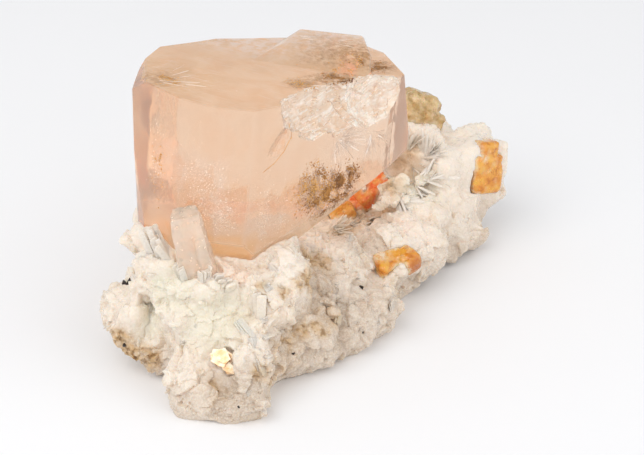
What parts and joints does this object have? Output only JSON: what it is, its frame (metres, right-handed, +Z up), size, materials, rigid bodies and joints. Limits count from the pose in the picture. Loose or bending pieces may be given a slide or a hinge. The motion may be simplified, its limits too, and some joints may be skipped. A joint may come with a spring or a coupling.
{
  "type": "pink beryl crystal on matrix",
  "caption": "Stubby six-sided pink beryl crystal leaning back on a white albite rock, with small orange, tan and dark crystals, a mica book and a clear quartz crystal.",
  "frame": {"origin": "Centre of the bounding box in plan, on the plane that the specimen rests on", "axes": "+Z up, square to the flat underside; -Y towards the front, where the rock's nose and the crystal's widest faces are; +X to the right, towards the rock's raised end"},
  "size_m": [0.0782, 0.0794, 0.0507],
  "materials": {
    "matrix": "matte",
    "beryl": "polished",
    "quartz": "gloss",
    "orange": "satin",
    "red": "satin",
    "tan": "satin",
    "mica": "gloss",
    "dark": "satin"
  },
  "bodies": {
    "root": {"matrix": "matrix", "beryl_crystal": "beryl", "quartz_crystal": "quartz", "orange_crystal_right": "orange", "orange_crystal_front": "orange", "amber_crystal": "orange", "red_crystal": "red", "tan_crystal": "tan", "mica_book": "mica", "dark_grain": "dark"}
  },
  "joints": []
}
